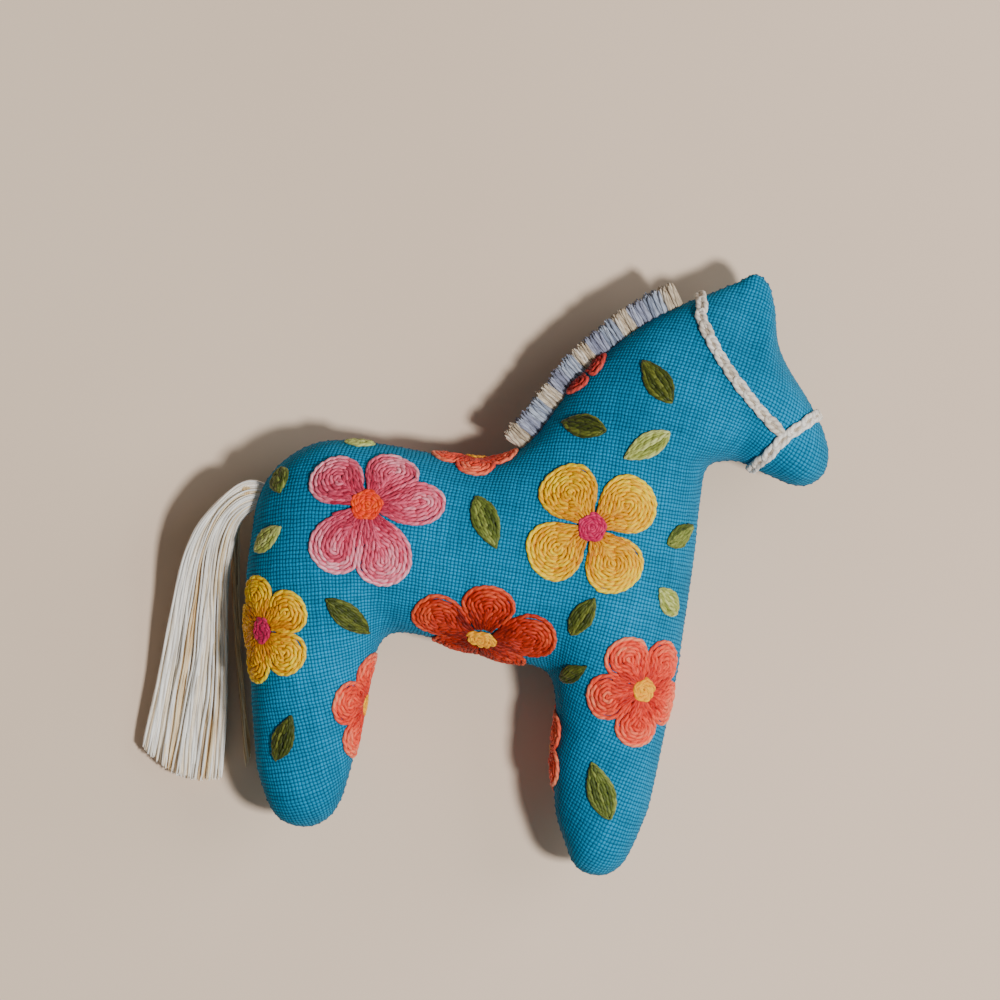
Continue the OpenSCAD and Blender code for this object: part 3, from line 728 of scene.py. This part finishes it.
# Name, petals, centre's radii in mm, petal and centre thread, and whether it is on a side.
FLOWERS = [
    ("pink_flower", PINK, (4.2, 4.2), "pink", "orange", True),
    ("left_pink_flower", PINK, (4.2, 4.2), "pink", "orange", True),
    ("yellow_flower", YELLOW, (3.9, 3.9), "yellow", "magenta", True),
    ("left_yellow_flower", YELLOW, (3.9, 3.9), "yellow", "magenta", True),
    ("knee_flower", KNEE, (3.2, 3.2), "coral", "gold", True),
    ("left_knee_flower", KNEE, (3.2, 3.2), "coral", "gold", True),
    ("haunch_flower", five(8, 15, 6), (3.0, 3.6), "yellow", "magenta", False),
    ("belly_flower", BELLY, (2.8, 4.2), "rust", "gold", False),
    ("hock_flower", five(36, 15, 6), (3.0, 3.0), "coral", "gold", False),
    ("back_flower", five(36, 12.5, 5.2), (3.0, 3.0), "coral", "gold", False),
    ("shin_flower", five(0, 13, 5.2), (2.6, 2.6), "coral", "gold", False),
    ("crest_flower", CREST, None, "red", None, False),
]
PETAL_GAP = 0.4 * MM
CREST_START = 4.5 * MM


def middle_of(*nodes):
    low = as_array([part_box(n)[0] for n in nodes]).min(0)
    high = as_array([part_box(n)[1] for n in nodes]).max(0)
    return (low + high) / 2


def mirrored(angles, patch_normal_z):
    """On the left side, seen from outside, the drawing runs the other way round."""
    return [(-a, r, w) for a, r, w in angles] if patch_normal_z < 0 else angles


def flower(name, petals, radii, thread, centre_thread, on_side):
    node = name + ("_centre" if radii else "_petals")
    place, normal = on_skin(middle_of(node))
    if on_side:
        first = np.array([1.0, 0, 0])
        petals = mirrored(petals, normal[2])
    else:
        along = unit(np.cross(normal, [0, 0, 1.0]))
        first = np.cross(normal, along)
        petals = [(-a, r, w) for a, r, w in petals]
    patch = Patch(place, first, 25 * MM)
    start = max(radii) * MM + PETAL_GAP if radii else CREST_START
    rows = Yarn()
    for angle, reach, width in petals:
        rooms = half_rooms(petals, angle)
        petal(rows, patch, math.radians(angle), start, reach * MM, width * MM, rooms)
    rows.piece(name + "_rows", THREADS[thread], thread + "_thread", "horse", name + "_petals")
    if radii:
        coil = Yarn()
        spiral(coil, patch, radii[0] * MM + PETAL_GAP, radii[1] * MM + PETAL_GAP)
        coil.piece(name + "_coil", THREADS[centre_thread], centre_thread + "_thread", "horse", node)


def islands(node):
    """Each separate solid of a CAD node as an array of its points."""
    bm = bmesh.new()
    bm.from_mesh(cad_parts[node].data)
    bmesh.ops.remove_doubles(bm, verts=bm.verts, dist=0.001 * MM)
    left, out = set(bm.verts), []
    while left:
        stack, found = [left.pop()], []
        while stack:
            v = stack.pop()
            found.append(tuple(v.co))
            for e in v.link_edges:
                w = e.other_vert(v)
                if w in left:
                    left.remove(w)
                    stack.append(w)
        out.append(np.array(found))
    bm.free()
    return sorted(out, key=lambda p: tuple(p.mean(0).round(5)))


def leaves(node, shade_name, slot):
    yarn = Yarn()
    for points in islands(node):
        middle = points.mean(0)
        _, _, axes = np.linalg.svd(points - middle)
        spans = [np.ptp((points - middle) @ axis) for axis in axes]
        leaf(yarn, Patch(middle, axes[0], 10 * MM, 24), spans[0], spans[1])
    yarn.piece(node + "_rows", THREADS[shade_name], slot, "horse", node)


# ---------------------------------------------------------------- seam and stuffing
def seam_loop():
    """Points round the body where the two panels meet."""
    flat = bmesh.new()
    flat.from_mesh(FORM.data)
    cut = bmesh.ops.bisect_plane(flat, geom=flat.verts[:] + flat.edges[:] + flat.faces[:],
                                 plane_co=(0, 0, seam_z), plane_no=(0, 0, 1), clear_outer=True)
    edges = [e for e in cut["geom_cut"] if isinstance(e, bmesh.types.BMEdge)]
    near = {}
    for e in edges:
        for v, w in ((e.verts[0], e.verts[1]), (e.verts[1], e.verts[0])):
            near.setdefault(v, []).append(w)
    here, last, loop = edges[0].verts[0], None, []
    while here is not None and (not loop or here is not edges[0].verts[0]):
        loop.append(tuple(here.co))
        ahead = [w for w in near[here] if w is not last]
        last, here = here, ahead[0] if ahead else None
    flat.free()
    return np.array(loop + loop[:1])


SEAM_PITCH = 2.2 * MM
SEAM_REACH = 0.9 * MM


def seam_stitches():
    """Small slanted stitches that draw the panels together."""
    yarn = Yarn(6)
    loop = resampled(seam_loop(), SEAM_PITCH)
    ahead = unit(np.gradient(loop, axis=0))
    for place, way in zip(loop, ahead):
        t = np.linspace(-1, 1, 7)[:, None]
        line = place + way * t * 0.3 * SEAM_PITCH + np.array([0, 0, SEAM_REACH]) * t
        found = [on_skin(p) for p in line]
        out = np.array([f[1] for f in found])
        sink = np.array([-0.30, -0.12, 0.0, 0.04, 0.0, -0.12, -0.30])[:, None] * MM
        line = np.array([f[0] for f in found]) + out * (sink - 0.12 * MM)
        yarn.thread(line, out, 0.24 * MM, RNG.uniform(0.3, 0.7), turn=1.4 * MM)
    yarn.piece("seam_stitches", THREADS["canvas"], "seam_thread", "horse", "seam_thread")


STUFFING_INSET = 1.8 * MM


def stuffing_piece():
    """The fibre filling, a little inside the cloth."""
    obj = link("fibre_filling", FORM.data.copy())
    co, _ = mesh_arrays(obj)
    normals = vertex_normals(obj.data)
    lumps = 0.25 * MM * np.sin(co[:, 0] / (3 * MM)) * np.cos(co[:, 1] / (3.7 * MM))
    set_places(obj.data, co - normals * (STUFFING_INSET + lumps)[:, None])
    obj.data.materials.clear()
    obj.data.materials.append(THREADS["cream"])
    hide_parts("stuffing")
    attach(obj, "horse")


# ---------------------------------------------------------------- bridle
# The haunch and the foot that stands lowest set the drawing's zero in the frame.
HAUNCH_X = -75.6


def drawn(x, y, z=0.0):
    """Frame place of a place on the drawing, in mm, that part.scad uses."""
    return np.array([panel_low[0] + (x - HAUNCH_X) * MM, panel_low[1] + y * MM, z])


def bent(a, b, c, count):
    """A line from a, towards b, to c."""
    t = np.linspace(0, 1, count)[:, None]
    a, b, c = (np.array(p, float) for p in (a, b, c))
    return (1 - t) * ((1 - t) * a + t * b) + t * ((1 - t) * b + t * c)


def hit(flat, side):
    """Where the cloth is straight above (1) or below (-1) a flat place."""
    place = drawn(*flat)
    start = Vector((place[0], place[1], seam_z + side * 0.08))
    found = SKIN.ray_cast(start, Vector((0, 0, -side)))[0]
    return np.array(found)


def over_edge(inside, edge, side):
    """Places from the top of the cloth at inside, over the edge, to below, for side 1."""
    top, low = hit(inside, side), hit(inside, -side)
    middle = np.array([top[0], top[1], seam_z])
    out = drawn(*edge, z=seam_z) - middle
    places = []
    for a in np.radians(np.arange(15, 166, 15)):
        face = top if a < math.pi / 2 else low
        places.append(middle + 1.25 * (abs(math.cos(a)) * (face - middle) + math.sin(a) * out))
    return np.array(places)


def strap_path(points, closed):
    line = np.array([on_skin(p)[0] for p in resampled(points, 1.2 * MM)])
    for _ in range(3):
        ahead = np.roll(line, -1, axis=0) if closed else np.vstack([line[1:], line[-1:]])
        back = np.roll(line, 1, axis=0) if closed else np.vstack([line[:1], line[:-1]])
        line = 0.5 * line + 0.25 * (ahead + back)
    if closed:
        line = np.vstack([line, line[:1]])
    return resampled(line, 0.4 * MM)


LINK_LENGTH = 6.4 * MM
LINK_PITCH = 4.5 * MM
LINK_WIDTH = 1.9 * MM
WOOL = 0.78 * MM


def chain(name, slot, node, points, closed=False):
    """A strap of chain stitch: each link starts inside the one before."""
    yarn = Yarn()
    path = strap_path(points, closed)
    found = [on_skin(p) for p in path]
    out = unit(np.array([f[1] for f in found]))
    base = np.array([f[0] for f in found])
    run = np.concatenate([[0], np.cumsum(np.linalg.norm(np.diff(base, axis=0), axis=1))])
    count = max(3, int(round(run[-1] / LINK_PITCH)))
    pitch = run[-1] / count
    phi = np.linspace(0.12, 2 * math.pi - 0.12, 30)
    for k in range(count):
        s = pitch * (k - 0.1) + LINK_LENGTH / 2 * (1 - np.cos(phi))
        s = s % run[-1] if closed else np.clip(s, 0, run[-1])
        across = LINK_WIDTH / 2 * np.sin(phi) * (1 - 0.3 * np.cos(phi)) * RNG.uniform(0.9, 1.08)
        place = np.stack([np.interp(s, run, base[:, i]) for i in range(3)], axis=1)
        normal = unit(np.stack([np.interp(s, run, out[:, i]) for i in range(3)], axis=1))
        ahead = unit(np.stack([np.interp((s + 0.5 * MM) % run[-1] if closed else
                                         np.minimum(s + 0.5 * MM, run[-1]), run, base[:, i])
                               for i in range(3)], axis=1) - place + 1e-9)
        beside = unit(np.cross(normal, ahead))
        lift = (0.55 - 0.25 * np.cos(phi)) * MM + 0.1 * MM
        line = place + beside * across[:, None] + normal * lift[:, None]
        yarn.thread(line, normal, WOOL * RNG.uniform(0.92, 1.08), np.clip(RNG.uniform(0.35, 0.85), 0, 1),
                    turn=2.0 * MM, depth=0.26)
    # A darker beige strand along the strap fills the links' holes: painted shade inside the links.
    painted_shade_strand = base + out * 0.45 * MM
    yarn.thread(painted_shade_strand, out, 0.62 * MM, 0.08, turn=2.4 * MM, depth=0.2)
    yarn.piece(name, THREADS["bridle"], slot, "horse", node)


def bridle():
    cheek = bent([34, 155], [41, 140], [61.5, 126], 14)
    poll = over_edge([35, 154], [33.5, 159.5], 1)
    right = np.array([hit(p, 1) for p in cheek])
    left = np.array([hit(p, -1) for p in cheek])
    chain("cheek_chain", "bridle_wool", "cheek_strap", np.vstack([right[::-1], poll, left]))
    nose = bent([67, 130], [61, 126], [58, 119], 10)
    right = np.array([hit(p, 1) for p in nose])
    left = np.array([hit(p, -1) for p in nose])
    jaw = over_edge([58, 119], [55.5, 116], 1)
    front = over_edge([67, 130], [70.5, 133], -1)
    chain("nose_chain", "bridle_wool", "noseband", np.vstack([right, jaw, left[::-1], front]), True)


# ---------------------------------------------------------------- mane
TUFTS = len([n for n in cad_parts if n.startswith("mane_tuft_")])
MANE_RISE = 7.2 * MM
YARN_WIDE = 1.42 * MM
MANE_WOOL = [("blue_wool", "grey_blue_wool"), ("beige_wool", "beige_wool"), ("lilac_wool", "lilac_grey_wool")]


def yarn_end(yarn, foot, out, beside, rise, tone):
    """One cut end: a bundle of fine strands that spreads a little at the top."""
    strands = 16
    third = np.cross(out, beside)
    t = np.linspace(0, 1, 14)
    for j in range(strands):
        r = YARN_WIDE * math.sqrt((j + 0.5) / strands)
        a = j * 2.4 + RNG.uniform(-0.3, 0.3)
        turn = a + 0.9 * t
        spread = (0.72 + 0.36 * t ** 2) * r
        height = rise * (1 - 0.16 * (r / YARN_WIDE) ** 2) * RNG.uniform(0.95, 1.04)
        sway = RNG.normal(0, 0.18 * MM, 2)
        line = (foot + out * (t * height)[:, None]
                + beside * (spread * np.cos(turn) + sway[0] * t)[:, None]
                + third * (spread * np.sin(turn) + sway[1] * t)[:, None])
        yarn.thread(line, np.broadcast_to(beside, line.shape), 0.4 * MM,
                    np.clip(tone + RNG.uniform(-0.25, 0.25), 0, 1), turn=3 * MM, depth=0.18)


def mane():
    centres = [middle_of(f"mane_tuft_{i}") for i in range(1, TUFTS + 1)]
    along = np.gradient(np.array(centres), axis=0)
    for i, centre in enumerate(centres):
        foot, normal = on_skin(centre)
        beside = unit(along[i] * [1, 1, 0])
        out = unit(np.cross(beside, [0, 0, 1.0]))
        out = out if out @ normal > 0 else -out
        pitch = np.linalg.norm(along[i])
        yarn = Yarn(6)
        for b in (-0.25, 0.25):
            for z in (-1.3 * MM, 1.3 * MM):
                place = foot + beside * (b * pitch) + np.array([0, 0, z + RNG.normal(0, 0.15 * MM)])
                place = place - out * 0.5 * MM
                yarn_end(yarn, place, out, beside, MANE_RISE * RNG.uniform(0.94, 1.05), RNG.uniform(0.35, 0.65))
        wool, slot = MANE_WOOL[(i + 1) % 3]
        yarn.piece(f"mane_yarn_{i + 1}", THREADS[wool], slot, "horse", f"mane_tuft_{i + 1}")


# ---------------------------------------------------------------- tail
PIVOT = middle_of("tail_knot")
LOCKS = 7
TAN_LOCKS = (2, 5)


# Courses down the tail, as on part.scad's drawing: x, y, share of the way down to the
# floor, width and thickness in mm.
TAIL = [
    (-84, 80.5, 0.08, 9, 6.6), (-85.5, 75, 0.24, 12, 7.4), (-86.5, 66, 0.5, 13.5, 7.6),
    (-86, 54, 0.74, 15.5, 7.6), (-85.2, 42, 0.9, 17.6, 7.4), (-84.8, 30, 0.97, 19.8, 7),
    (-84.8, 20, 1, 21.6, 6.6), (-84.5, 7, 1, 23, 6.2),
]
WISP = [
    (-79.4, 78.6, 0.3, 2.6, 2.4), (-77.6, 70, 0.66, 3.2, 2.4), (-75.4, 58, 0.92, 3.4, 2.2),
    (-72.8, 45, 1.06, 3.2, 2), (-69.6, 30, 1.1, 2.4, 1.6), (-66.6, 14, 1.12, 1.2, 1),
]
TAIL_FLOOR = 3.9 * MM
STRAND_RINGS = 62
ROOT_DEEP = 8.0 * MM          # so the root stays in the cloth
ROOT_HALF = 1.3 * MM
ARCH_HALF = 5.2 * MM
ROOT_THICK = 3.2 * MM


def course(rows):
    """Middle, width and thickness of a yarn bundle at places down its length, in metres."""
    out = []
    for x, y, share, wide, thick in rows:
        z = seam_z + (TAIL_FLOOR - seam_z) * share
        out.append([*drawn(x, y, z), wide * MM, thick * MM])
    return np.array(out)


def smooth_line(points, count):
    """A smooth line through points that come at uneven steps."""
    gaps = np.linalg.norm(np.diff(points[:, :3], axis=0), axis=1)
    run = np.concatenate([[0], np.cumsum(gaps)])
    at = np.linspace(0, run[-1], count)
    line = np.stack([np.interp(at, run, points[:, i]) for i in range(points.shape[1])], axis=1)
    for _ in range(24):
        line[1:-1] = 0.5 * line[1:-1] + 0.25 * (line[:-2] + line[2:])
    return line


def strand(yarn, rows, root, lane, layer, radius, tone, more, sway):
    """One strand from its root down the bundle; lane and layer run from -1 to 1.

    sway is the number of waves and the start that all strands of a lock share.
    """
    line = rows[:, :3].copy()
    line[:, 0] += lane * (rows[:, 3] / 2 - radius)
    line[:, 2] += layer * (rows[:, 4] / 2 - radius)
    line[-1, 1] -= more
    line = smooth_line(np.vstack([root, line]), STRAND_RINGS)
    t = np.linspace(0, 1, len(line))
    ease = np.minimum(1, 4 * t)
    for axis, far in ((0, 0.5 * MM * (1 - 0.6 * abs(lane))), (2, 0.3 * MM)):
        slow = np.sin(2 * math.pi * (t * RNG.uniform(0.6, 1.6) + RNG.uniform()))
        quick = np.sin(2 * math.pi * (t * RNG.uniform(3, 5) + RNG.uniform()))
        shared = np.sin(2 * math.pi * (t * sway[0] + sway[1] + axis / 4))
        line[:, axis] += far * (shared + 0.6 * slow + 0.3 * quick) * ease
    radius = radius * RNG.uniform(0.75, 1.2)
    tone = np.clip(tone + 0.18 * np.sin(2 * math.pi * (t * RNG.uniform(0.8, 2) + RNG.uniform())), 0, 1)
    line[:, 2] = np.maximum(line[:, 2], radius)
    yarn.thread(line, np.broadcast_to([0, 0, 1.0], line.shape), radius * (0.85 + 0.25 * t), tone,
                turn=12 * MM, depth=0.05, taper=3)


def root_places(lane, layer):
    """From a gathered root inside the rump out to the pivot, outer lanes highest."""
    return np.array([
        [PIVOT[0] + ROOT_DEEP, PIVOT[1] - lane * ROOT_HALF, seam_z + layer * ROOT_THICK / 2],
        [PIVOT[0], PIVOT[1] + 0.6 * MM - lane * ARCH_HALF, seam_z + layer * ROOT_THICK],
    ])


def tail():
    rows = course(TAIL)
    cream, tan = Yarn(5), Yarn(5)
    for lock in range(LOCKS):
        middle = (lock + 0.5) / LOCKS * 2 - 1
        sway = (RNG.uniform(0.7, 1.5), RNG.uniform())
        for j in range(44):
            local = RNG.uniform(-1, 1)
            target = tan if lock in TAN_LOCKS and j % 3 else cream
            ridge = 0.5 + 0.5 * abs(math.cos(math.pi * local))
            layer = ridge * (1 - 2 * ((j % 8) + 0.5) / 8) * math.sqrt(1 - 0.5 * middle ** 2)
            layer = max(layer - (0.1 if target is tan else 0), -1)
            lane = middle + local / LOCKS * 1.06
            more = (-1.2 + 2.5 * lane - 3.4 * lane ** 2 + RNG.uniform(-0.5, 0.5)) * MM
            # Strands high on a ridge are lighter and those low in the valleys darker: painted highlight and
            # shade.
            tone = np.clip(1.1 * ridge - 0.12 + RNG.uniform(-0.18, 0.15), 0, 1)
            strand(target, rows, root_places(lane, layer), lane, layer, 0.38 * MM, tone, more, sway)
    tail_piece(cream, "tail_cream_yarn", "cream", "cream_yarn", "tail_cream_locks")
    tail_piece(tan, "tail_tan_yarn", "tan", "tan_yarn", "tail_tan_locks")
    wisp = Yarn(6)
    rows = course(WISP)
    for j in range(18):
        lane, layer = RNG.uniform(-1, 1), RNG.uniform(-0.8, 0.8)
        root = root_places(0.8 + 0.15 * lane, layer - 0.2)
        more = RNG.uniform(-4, 1) * MM
        strand(wisp, rows, root, 0.8 * lane - 1.3, layer, 0.34 * MM, RNG.uniform(0.2, 0.9), more, (1.0, 0.2))
    tail_piece(wisp, "tail_wisp_yarn", "wisp", "tan_yarn", "tail_wisps")


def tail_piece(yarn, name, thread, slot, node):
    obj = yarn.piece(name, THREADS[thread], slot, None, node)
    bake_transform(obj)


def knot():
    """Thread wound round the root of the tail."""
    yarn = Yarn(8)
    low, high = (np.array(p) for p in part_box("tail_knot"))
    r = (high - low).min() / 2 - 0.8 * MM
    turns = 13
    a = np.linspace(0.12, math.pi - 0.12, 60 * turns)
    round_ = 2 * math.pi * turns * a / math.pi
    out = np.stack([np.cos(a), np.sin(a) * np.cos(round_), np.sin(a) * np.sin(round_)], axis=1)
    tone = np.clip(0.5 + 0.25 * np.sin(3 * round_), 0, 1)
    yarn.thread(PIVOT + out * (r - 0.35 * MM), out, 0.4 * MM, tone)
    yarn.piece("tail_binding_thread", THREADS["tan"], "tail_binding", "tail_root", "tail_knot")


# ---------------------------------------------------------------- floor, light and camera
TURN = math.radians(9.4)
RIGHT = Vector((math.cos(TURN), math.sin(TURN), 0))
UP = Vector((-math.sin(TURN), math.cos(TURN), 0))
VIEW_MIDDLE = Vector((0.0001, 0.0117, 0.02))
VIEW_WIDE = 0.27
LENS = 200.0
SENSOR = 36.0


def floor():
    size = 1.5
    obj = mesh_from("floor", np.array([[-size, -size, 0], [size, -size, 0], [size, size, 0], [-size, size, 0]]),
                    np.array([[0, 1, 2, 3]]), {}, np.array([[0, 0], [1, 0], [1, 1], [0, 1]], float))
    obj.data.materials.append(floor_material())


def area_light(name, way, distance, size, power):
    data = bpy.data.lights.new(name, "AREA")
    data.size = size
    data.energy = power
    obj = bpy.data.objects.new(name, data)
    bpy.context.scene.collection.objects.link(obj)
    way = way.normalized()
    obj.location = VIEW_MIDDLE + way * distance
    obj.rotation_euler = way.to_track_quat("Z", "Y").to_euler()


def lights():
    key_way = RIGHT * 36 - UP * 15 + Vector((0, 0, 74))
    area_light("key", key_way, 2.0, 0.22, 46.0)
    area_light("fill", RIGHT * 0.9 + UP * 0.25 + Vector((0, 0, 0.6)), 1.4, 0.9, 7.0)
    world = bpy.data.worlds.new("studio")
    world.use_nodes = True
    world.node_tree.nodes["Background"].inputs["Color"].default_value = (1.0, 0.98, 0.95, 1)
    world.node_tree.nodes["Background"].inputs["Strength"].default_value = 0.16
    bpy.context.scene.world = world


def camera():
    data = bpy.data.cameras.new("camera")
    data.lens = LENS
    data.sensor_width = SENSOR
    obj = bpy.data.objects.new("camera", data)
    bpy.context.scene.collection.objects.link(obj)
    obj.location = VIEW_MIDDLE + Vector((0, 0, VIEW_WIDE * LENS / SENSOR))
    obj.rotation_euler = (0, 0, TURN)
    bpy.context.scene.camera = obj


# ---------------------------------------------------------------- the whole horse
PANELS = [panel("right_cloth", "right_panel", 1), panel("left_cloth", "left_panel", -1)]
stuffing_piece()
seam_stitches()
for row_of_flower in FLOWERS:
    flower(*row_of_flower)
LEAF_NODES = [("light", "light"), ("middle", "middle"), ("dark", "dark")]
for shade_name, _ in LEAF_NODES:
    leaves(shade_name + "_leaves", shade_name, shade_name + "_green_thread")
    leaves("left_" + shade_name + "_leaves", shade_name, shade_name + "_green_thread")
leaves("back_leaf", "light", "light_green_thread")
bridle()
mane()
knot()
tail()
FORM.hide_render = True
bpy.data.objects.remove(FORM)
floor()
lights()
camera()
